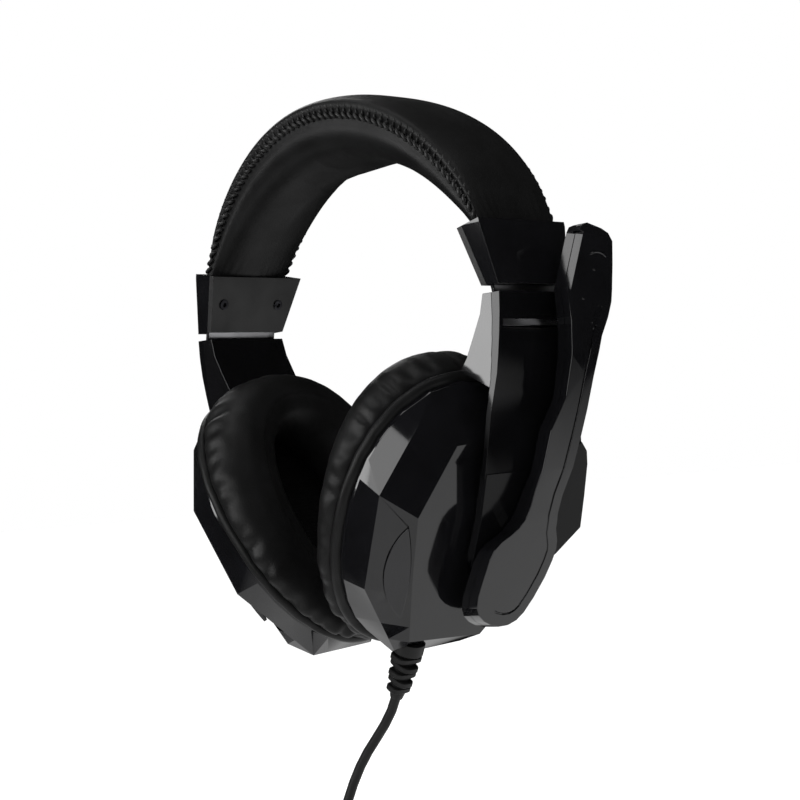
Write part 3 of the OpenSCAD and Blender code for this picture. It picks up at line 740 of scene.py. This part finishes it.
def make_band():
    """Padded cover: the plain section swept along the arch, then pushed in and out along its normals."""
    rows, sides = 190, 120
    ts = np.linspace(-61, 61, rows)
    angles = np.arange(sides) * 2 * math.pi / sides
    t, a = np.meshgrid(ts, angles, indexing="ij")
    base = band_point(t, a)
    s = np.sin(a)
    flat_pts = base.reshape(-1, 3)
    big = bumps(flat_pts, 0.035, 3.0).reshape(t.shape)
    fold = bumps(flat_pts * np.array([1, 0.5, 1]), 0.11, 7.0).reshape(t.shape)
    push = 0.35 * big
    # folds under the crown, running across the band
    under = smooth_step(-s, 0.25, 0.9) * (1 - smooth_step(np.abs(t + 2), 20, 44))
    wave = np.sin(np.radians(t) * 30 + base[..., 1] * 0.13 + 3.4 * big)
    push += under * (-0.34 * np.maximum(0, wave * 0.8 + 1.2 * fold - 0.25) ** 2)
    # gathers where the leather enters the caps
    near_cap = smooth_step(np.abs(t), 47, 57)
    gather = 0.5 + 0.5 * np.sin(base[..., 1] * 1.9 + 4 * fold)
    push -= near_cap * 0.2 * gather * (np.abs(s) > 0.25)
    # the seam pulls the leather in on both edges
    edge = np.exp(-((s - 0.02) / 0.13) ** 2)
    push -= 0.9 * edge * (1 - near_cap)
    push += 0.55 * np.exp(-((s - 0.42) / 0.22) ** 2) * (1 - near_cap)
    normal_row = band_point(t, a, 1.0) - base
    normal_row /= np.linalg.norm(normal_row, axis=-1)[..., None]
    grid = (base + normal_row * push[..., None]) * MM
    ob = grid_object("band_cover", grid, "headband", False, True, True)
    dress(ob, "band")
    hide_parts("headband_cover", "headband_foam")


def on_band(t, h, side, out=0.0):
    """Point on the cover at angle t, h mm above the seam on the front (side -1) or back (side 1) edge."""
    room = float(band_above(np.array(t)) if h > 0 else band_below(np.array(t)))
    power = float(under_back_power(np.array(t))) if (side > 0 and h < 0) else SECTION_POWER
    s = min(abs(h) / room, 0.97) ** (power / 2)
    a = math.asin(s) * (1 if h > 0 else -1)
    angle = a % (2 * math.pi) if side > 0 else math.pi - a
    return band_point(np.array(float(t)), np.array(angle), out)


STITCH_STEP = 1.95      # degrees
# a stitch: its points as (degrees along the band, height, out), its radius, and the points that the wobble moves
WHIP = ([(-0.95, 0.95, -0.7), (-0.6, 0.6, 0.25), (0, 0, 0.5), (0.6, -0.6, 0.25), (0.95, -0.95, -0.7)], 0.62, (0, 1, 4))
UPRIGHT = ([(-0.2, 0.8, -0.6), (-0.35, 1.4, 0.0), (-0.5, 2.4, 0.0), (-0.6, 3.1, -0.6)], 0.34, ())
UPPER = ([(-1.1, 3.5, -0.55), (-0.75, 3.4, 0.15), (-0.35, 3.05, 0.15), (0, 2.8, -0.55)], 0.44, (0,))


def make_stitches():
    """Slanted whip stitches over the seam on both edges of the band, and rows of small ones above them."""
    verts, faces = [], []
    sides = 7

    def stitch(points, radius):
        base = len(verts)
        path = spline(points, 3)
        radii = radius * np.sqrt(np.clip(1 - (np.linspace(-1, 1, len(path)) * 0.97) ** 4, 0.06, 1))
        rings = tube_rings(path * MM, radii * MM, sides, (0.31, 0.2, 0.93))
        for ring in rings:
            verts.extend(map(tuple, ring))
        n = len(path)
        faces.extend(grid_faces(n, sides, False, True, base))
        faces.append(tuple(range(base, base + sides)))
        faces.append(tuple(range(base + (n - 1) * sides, base + n * sides)))

    def place(kind, t, side, squeeze, wobble):
        places, radius, moved = kind
        stitch([on_band(t + dt, h * squeeze + (wobble if k in moved else 0.0), side, out)
                for k, (dt, h, out) in enumerate(places)], radius)

    for side in (-1, 1):
        t, i = -55.8, 0
        while t < 56:
            squeeze = min(1.0, float(band_above(np.array(t))) / 5.5)
            wobble = 0.16 * math.sin(i * 2.4) + 0.1 * math.sin(i * 5.1)
            place(WHIP, t, side, 1.0, wobble)
            if squeeze > 0.55:
                place(UPRIGHT, t, side, squeeze, wobble)
                place(UPPER, t, side, squeeze, wobble)
            t += STITCH_STEP
            i += 1
    dress(outward(add_mesh("band_stitches", verts, faces, "headband")), "thread")


make_band()
make_stitches()

# ---------------------------------------------------------------- ear pads

CUSHION_FROM, CUSHION_T = 3.6, 21.5         # mm inward from the cup's rim: where the pad starts and ends
PAD_OUT = np.array([39.5, 49])              # half axes of the pad's oval
PAD_HOLE = np.array([19, 29])
MESH_OUT = np.array([30.2, 39.8])


def pad_thickness(p):
    """The pad is thickest at the back and towards the top."""
    grow = np.where(p[..., 0] > 0, 0.18, 0.12)
    return CUSHION_T + grow * p[..., 0] + 0.14 * p[..., 1]


def twist(p):
    """Turns the oval about the cup's axis."""
    c, s = math.cos(TWIST), math.sin(TWIST)
    return np.stack([p[..., 0] * c - p[..., 1] * s, p[..., 0] * s + p[..., 1] * c], -1)


def pad_grid(seed, pleat_depth):
    """Closed cross-sections of the cushion, one for each step round the oval, in the ear frame."""
    outer = [(0.0, -2.2), (0.0, 0.6), (0.12, 2.7), (0.34, 3.5), (0.58, 2.7), (0.78, 0.3), (0.93, -3.6), (1.0, -8.2)]
    inner = [(1.0, 8.0), (0.93, 3.9), (0.78, 1.5), (0.58, 0.4), (0.34, 0.5), (0.12, 1.8), (0.0, 5.0)]
    steps = 288
    phi = np.arange(steps) * 2 * math.pi / steps
    control = [(share, twist(oval(*(PAD_OUT + grow), phi))) for share, grow in outer]
    control.append((1.025, twist((oval(*(PAD_OUT - 11), phi) + oval(*(PAD_HOLE + 10), phi)) / 2)))
    control += [(share, twist(oval(*(PAD_HOLE + grow), phi))) for share, grow in inner]
    pts = []
    for share, p in control:
        t = pad_thickness(p)
        pts.append(np.column_stack([-CUSHION_FROM - share * (t - CUSHION_FROM), p]))
    line = spline(np.array(pts).reshape(len(pts), -1), 5).reshape(-1, steps, 3)
    # pleats on the outer side, where the leather is gathered onto the base
    rng = np.random.default_rng(seed)
    count = 40
    centres = (np.arange(count) + rng.uniform(-0.26, 0.26, count)) * 2 * math.pi / count
    depth = rng.uniform(0.45, 1.15, count)
    width = rng.uniform(0.028, 0.05, count)
    slant = rng.uniform(-0.05, 0.05, count)
    centre_line = twist(oval(29, 39, phi))
    n_rows = line.shape[0]
    result = line.copy()
    for r in range(n_rows):
        row = line[r]
        t = pad_thickness(row[:, 1:])
        share = np.clip((-row[:, 0] - CUSHION_FROM) / (t - CUSHION_FROM), 0, 1.1)
        out_vec = row[:, 1:] - centre_line
        dist = np.linalg.norm(out_vec, axis=1)
        outside = np.einsum("ij,ij->i", out_vec, centre_line) > 0
        out_vec = out_vec / dist[:, None]
        weight = smooth_step(share, -0.05, 0.2) * (1 - smooth_step(share, 0.35, 0.92)) * outside
        pleat = np.zeros(steps)
        for c, d, w, sl in zip(centres, depth, width, slant):
            delta = (phi - c - sl * share + math.pi) % (2 * math.pi) - math.pi
            pleat += d * np.exp(-(delta / (w * (1 + 0.8 * share))) ** 2)
        lump = 0.35 + 0.15 * np.sin(phi * 17 + seed)
        push = weight * (lump - pleat_depth * pleat)
        result[r, :, 1:] += out_vec * push[:, None]
    soft = bumps(result.reshape(-1, 3), 0.06, seed * 1.3).reshape(n_rows, steps)
    fine = bumps(result.reshape(-1, 3), 0.22, seed * 2.1).reshape(n_rows, steps)
    middle = np.column_stack([np.full(steps, -12.0), centre_line])
    radial = result - middle[None]
    radial /= np.linalg.norm(radial, axis=-1)[..., None]
    result += radial * (0.42 * soft + 0.10 * fine)[..., None]
    result[..., 0] = np.minimum(result[..., 0], -2.9)
    return result


def ring_grid(growth, depth, half_r, half_d, wave):
    """Rounded ring that follows the cup's oval."""
    sides, steps = 20, 220
    phi = np.arange(steps) * 2 * math.pi / steps
    rows = []
    for k in range(sides):
        a = 2 * math.pi * k / sides
        c, s = math.cos(a), math.sin(a)
        g = growth + half_r * np.sign(c) * abs(c) ** 0.8
        p = twist(oval(*(PAD_OUT + g), phi))
        d = depth + half_d * s + wave * np.sin(phi * 23 + 1.3 * np.sin(phi * 5))
        rows.append(np.column_stack([d, p]))
    return np.array(rows)


def cloth_grid():
    """Gently domed cloth over the loudspeaker, closed underneath."""
    steps = 96
    phi = np.arange(steps) * 2 * math.pi / steps
    levels = [(0.02, -2.3), (0.6, -2.3), (1.0, -2.3), (1.0, -3.3), (0.97, -3.9),
              (0.85, -4.5), (0.65, -5.0), (0.4, -5.35), (0.2, -5.5), (0.02, -5.55)]
    rows = []
    for share, d in levels:
        p = twist(oval(*(MESH_OUT * share), phi))
        rows.append(np.column_stack([np.full(steps, d), p]))
    return np.array(rows)


for side, flip, seed, pleat_depth in (("l", False, 5, 1.0), ("r", True, 11, 1.7)):
    body = "cup_" + side
    pad = ear(pad_grid(seed, pleat_depth))
    lip = ear(ring_grid(-0.3, -2.05, 2.7, 1.95, 0.12))
    mesh_disc = ear(cloth_grid())
    if flip:
        pad, lip, mesh_disc = mirrored(pad), mirrored(lip), mirrored(mesh_disc)
    pad_ob = grid_object("ear_pad_" + side, pad, body)
    dress(pad_ob, "ear")
    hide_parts("cushion_" + side)
    lip_ob = grid_object("ear_pad_lip_" + side, lip, body)
    dress(lip_ob, "ear")
    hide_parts("cushion_lip_" + side)
    cloth_ob = grid_object("ear_mesh_" + side, mesh_disc, body, False, True, True)
    dress(cloth_ob, "cloth")
    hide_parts("ear_cloth_" + side)

# ---------------------------------------------------------------- stage and lights

FLOOR_Z = -0.331        # leaves room for the coil to go down with the arm and the cup
REFLECTOR_Z = -0.309
AIM = Vector((0.02, 0, -0.1))               # what the lights point at
SURROUND_R = 4


def level_square(name, height, size, material):
    """Level square on the stage, centred under the origin."""
    me = bpy.data.meshes.new(name)
    h = size / 2
    me.from_pydata([(-h, -h, 0), (h, -h, 0), (h, h, 0), (-h, h, 0)], [], [(0, 1, 2, 3)])
    ob = bpy.data.objects.new(name, me)
    ob.location = (0, 0, height)
    ob.data.materials.append(material)
    bpy.context.scene.collection.objects.link(ob)
    return ob


def floor_material():
    m = Nodes("floor_white", (0.9, 0.9, 0.9), 0.9, Specular_IOR_Level=0.1,
              Emission_Color=(1, 1, 1, 1), Emission_Strength=0.16)
    m.colors(m.noise(3, 2), (0.88, 0.88, 0.88), (0.92, 0.92, 0.92))
    return m.mat


def emitter(name, strength):
    mat = bpy.data.materials.new(name)
    mat.use_nodes = True
    tree = mat.node_tree
    tree.nodes.clear()
    out = tree.nodes.new("ShaderNodeOutputMaterial")
    em = tree.nodes.new("ShaderNodeEmission")
    em.inputs["Color"].default_value = (1, 1, 1, 1)
    em.inputs["Strength"].default_value = strength
    tree.links.new(em.outputs[0], out.inputs[0])
    return mat


def glossy_only(ob):
    """Hides a stage piece from everything but reflections."""
    for kind in ("camera", "diffuse", "transmission", "volume_scatter", "shadow"):
        setattr(ob, "visible_" + kind, False)


def make_surround():
    """Dark studio that only reflections see."""
    steps, rows = 64, []
    for e in (-89, -60, -30, -15, 0, 15, 30, 45, 60, 75, 89):
        reach, height = turned(e, SURROUND_R)
        rows.append([[*turned(360 * k / steps, reach), height] for k in range(steps)])
    ob = grid_object("dark_surround", np.array(rows), None, False, True, False)
    ob.data.materials.append(emitter("surround", 0.01))
    glossy_only(ob)


TONGUE_AZ = 40


def make_reflector():
    """Pale card near the floor that only reflections see: a pool under the object and a tongue that fades out."""
    m = Nodes("reflector", (0, 0, 0), 1.0, Specular_IOR_Level=0.0, Emission_Strength=1.0)
    m.bsdf.inputs["Emission Color"].default_value = (1, 1, 1, 1)
    reach = m.node("ShaderNodeVectorMath", [(0, m.coords)])
    reach.operation = "LENGTH"
    pool = m.ramp(reach.outputs["Value"], 0.2, 0.45, 0.9, 0.0)
    swung = m.node("ShaderNodeMapping", [("Vector", m.coords)], Rotation=(0, 0, math.radians(-TONGUE_AZ)))
    uv = m.node("ShaderNodeSeparateXYZ", [("Vector", swung.outputs[0])]).outputs
    across = m.calc("ABSOLUTE", uv["Y"])
    side_fade = m.ramp(across, 0.2, 0.34, 1.0, 0.0)
    near_fade = m.ramp(uv["X"], -0.1, 0.1, 0.0, 1.0)
    far_fade = m.ramp(uv["X"], 0.35, 1.9, 1.0, 0.0)
    tongue = m.calc("MULTIPLY", m.calc("MULTIPLY", side_fade, near_fade), far_fade)
    m.tree.links.new(m.calc("MAXIMUM", tongue, pool), m.bsdf.inputs["Emission Color"])
    glossy_only(level_square("floor_reflector", REFLECTOR_Z, 6, m.mat))


floor = level_square("floor", FLOOR_Z, 60, floor_material())
floor.rotation_euler.z = math.pi            # only turns its faint mottling
floor.visible_glossy = False
make_surround()
make_reflector()
world = bpy.data.worlds.new("world")
world.use_nodes = True
background = world.node_tree.nodes["Background"].inputs
background["Color"].default_value = (1, 1, 1, 1)
background["Strength"].default_value = 1.0
bpy.context.scene.world = world
bpy.context.scene.view_settings.view_transform = "Standard"
bpy.context.scene.view_settings.look = "None"


def softbox(name, az, el, distance, width, height, radiance):
    """Area light given by its direction and its brightness in reflections."""
    reach, up = turned(el, 1)
    d = Vector((*turned(az, reach), up)).normalized()
    data = bpy.data.lights.new(name, "AREA")
    data.shape = "RECTANGLE"
    data.size, data.size_y = width, height
    data.energy = radiance * math.pi * width * height
    ob = bpy.data.objects.new(name, data)
    ob.location = AIM + d * distance
    ob.rotation_mode = "QUATERNION"
    ob.rotation_quaternion = d.to_track_quat("Z", "Y")
    bpy.context.scene.collection.objects.link(ob)
    ob.visible_camera = False


softbox("key_front_left", 233, 16, 1.6, 0.38, 0.87, 7.0)
softbox("front_strip", 269, 12.5, 1.6, 1.7, 0.78, 3.8)
softbox("upper_left", 236, 43, 1.6, 0.32, 0.3, 4.2)
softbox("top", 250, 78, 1.5, 1.1, 0.5, 2.4)
softbox("back_left", 150, 35, 1.8, 0.5, 0.9, 4.0)
softbox("right_high", 20, 58, 1.7, 0.5, 0.4, 3.0)
